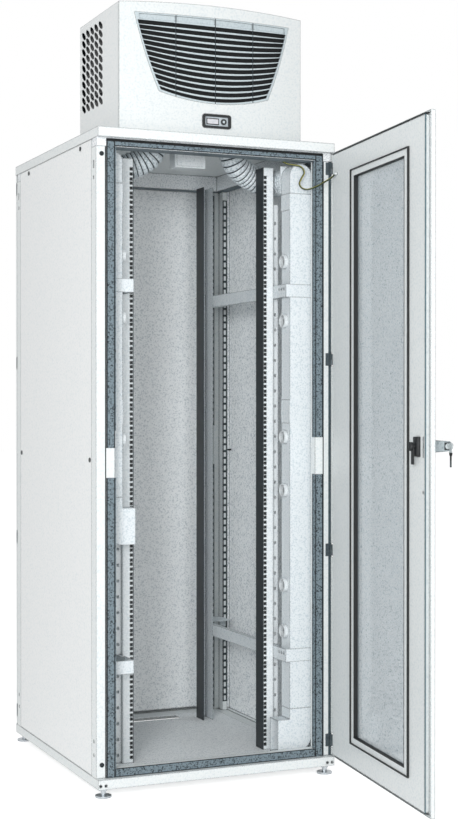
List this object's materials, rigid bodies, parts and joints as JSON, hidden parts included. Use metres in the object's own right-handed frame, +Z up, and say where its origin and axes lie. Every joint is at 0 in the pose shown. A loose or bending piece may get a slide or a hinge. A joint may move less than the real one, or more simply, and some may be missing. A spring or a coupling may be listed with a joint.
{
  "type": "air-conditioned server cabinet",
  "caption": "Tall glazed-door rack cabinet with a cooling unit on its roof and air ducts down both front corners.",
  "frame": {"origin": "centre of the cabinet's footprint on the floor", "axes": "+Z up, the front with the glazed door faces -Y, +X to the right seen from the front"},
  "size_m": [0.8107, 1.6968, 2.435],
  "materials": {
    "powder_coat": "light grey powder coat",
    "inner_sheet": "pale blue-grey",
    "unit_paint": "light grey, smooth",
    "black_plastic": "black",
    "grey_plastic": "light grey",
    "foam": "black foam",
    "zinc": "zinc plated",
    "glass": "clear",
    "hose": "ribbed, grey",
    "cable": "green and yellow",
    "display": "dark",
    "fins": "plain",
    "cast": "black paint"
  },
  "bodies": {
    "cabinet": {"base_frame": "powder_coat", "floor_plate": "inner_sheet", "post_front_left": "powder_coat", "post_front_right": "powder_coat", "post_rear_left": "powder_coat", "post_rear_right": "powder_coat", "top_frame": "powder_coat", "roof_plate": "powder_coat", "side_panel_left": "powder_coat", "side_panel_right": "powder_coat", "cabinet_screws": "zinc", "frame_seals": "foam", "post_strips": "inner_sheet", "rack_rail_front_left": "inner_sheet", "rack_rail_front_right": "inner_sheet", "rack_rail_rear_left": "inner_sheet", "rack_rail_rear_right": "inner_sheet", "depth_channels": "inner_sheet", "channel_brackets": "inner_sheet", "duct_hoods": "inner_sheet", "duct_riser_left": "inner_sheet", "duct_riser_right": "inner_sheet", "duct_outlets": "inner_sheet", "air_nozzles": "grey_plastic", "air_hoses": "hose", "junction_box": "grey_plastic", "ac_base_tray": "inner_sheet", "ac_housing": "unit_paint", "ac_front_cover": "unit_paint", "ac_grille": "unit_paint", "ac_filter_mat": "black_plastic", "ac_display_frame": "black_plastic", "ac_display_window": "display", "ac_condenser_coil": "fins", "ac_evaporator_coil": "fins", "ac_compressor": "cast", "ac_fan_carrier": "inner_sheet", "hinge_brackets": "zinc", "earth_cable": "cable"},
    "foot_front_left": {"foot_front_left": "zinc"},
    "foot_front_right": {"foot_front_right": "zinc"},
    "foot_rear_left": {"foot_rear_left": "zinc"},
    "foot_rear_right": {"foot_rear_right": "zinc"},
    "front_door": {"front_door_panel": "powder_coat", "front_door_frame": "inner_sheet", "front_door_hinges": "zinc", "front_window_trim": "powder_coat", "front_door_glass": "glass", "front_lock_case": "black_plastic"},
    "front_lock": {"front_lock_hub": "black_plastic"},
    "front_lever": {"front_handle_lever": "zinc"},
    "front_key": {"front_door_key": "zinc"},
    "rear_door": {"rear_door_panel": "powder_coat", "rear_door_frame": "inner_sheet", "rear_door_hinges": "zinc", "rear_lock_case": "black_plastic"},
    "rear_lock": {"rear_lock_handle": "zinc"},
    "condenser_fan": {"condenser_fan": "black_plastic"},
    "evaporator_fan": {"evaporator_fan": "black_plastic"},
    "display_button": {"ac_display_button": "black_plastic"}
  },
  "joints": [
    {"name": "foot_front_left_turn", "type": "hinge", "parent": "cabinet", "child": "foot_front_left", "pos_m": [-0.376, -0.426, 0], "axis": [0, 0, 1], "continuous": true},
    {"name": "foot_rear_left_turn", "type": "hinge", "parent": "cabinet", "child": "foot_rear_left", "pos_m": [-0.376, 0.426, 0], "axis": [0, 0, 1], "continuous": true},
    {"name": "foot_front_right_turn", "type": "hinge", "parent": "cabinet", "child": "foot_front_right", "pos_m": [0.376, -0.426, 0], "axis": [0, 0, 1], "continuous": true},
    {"name": "foot_rear_right_turn", "type": "hinge", "parent": "cabinet", "child": "foot_rear_right", "pos_m": [0.376, 0.426, 0], "axis": [0, 0, 1], "continuous": true},
    {"name": "front_door_hinge", "type": "hinge", "parent": "cabinet", "child": "front_door", "pos_m": [0.396, -0.438, 1], "axis": [0, 0, 1], "range_deg": [-82.5, 47.5]},
    {"name": "front_lock_turn", "type": "hinge", "parent": "front_door", "child": "front_lock", "pos_m": [0.30306, -1.14391, 1.074], "axis": [0.9914, -0.1305, 0], "range_deg": [-90, 0]},
    {"name": "front_lever_swing", "type": "hinge", "parent": "front_lock", "child": "front_lever", "pos_m": [0.33281, -1.14783, 1.074], "axis": [0, 0, 1], "range_deg": [0, 88]},
    {"name": "front_key_turn", "type": "hinge", "parent": "front_lever", "child": "front_key", "pos_m": [0.38436, -1.15461, 1.074], "axis": [-0.1305, -0.9914, 0], "range_deg": [-90, 90]},
    {"name": "rear_door_hinge", "type": "hinge", "parent": "cabinet", "child": "rear_door", "pos_m": [-0.396, 0.438, 1], "axis": [0, 0, 1], "range_deg": [0, 130]},
    {"name": "rear_lock_turn", "type": "hinge", "parent": "rear_door", "child": "rear_lock", "pos_m": [0.316, 0.438, 1.074], "axis": [0, 1, 0], "range_deg": [-90, 0]},
    {"name": "condenser_fan_spin", "type": "hinge", "parent": "cabinet", "child": "condenser_fan", "pos_m": [0, -0.285, 2.303], "axis": [0, 1, 0], "continuous": true},
    {"name": "evaporator_fan_spin", "type": "hinge", "parent": "cabinet", "child": "evaporator_fan", "pos_m": [0, -0.1, 2.1], "axis": [0, 0, 1], "continuous": true},
    {"name": "display_button_press", "type": "slide", "parent": "cabinet", "child": "display_button", "axis": [0, 1, 0], "range_m": [0, 0.0015], "stiffness_N_per_m": 300, "springref_m": -0.0015}
  ]
}
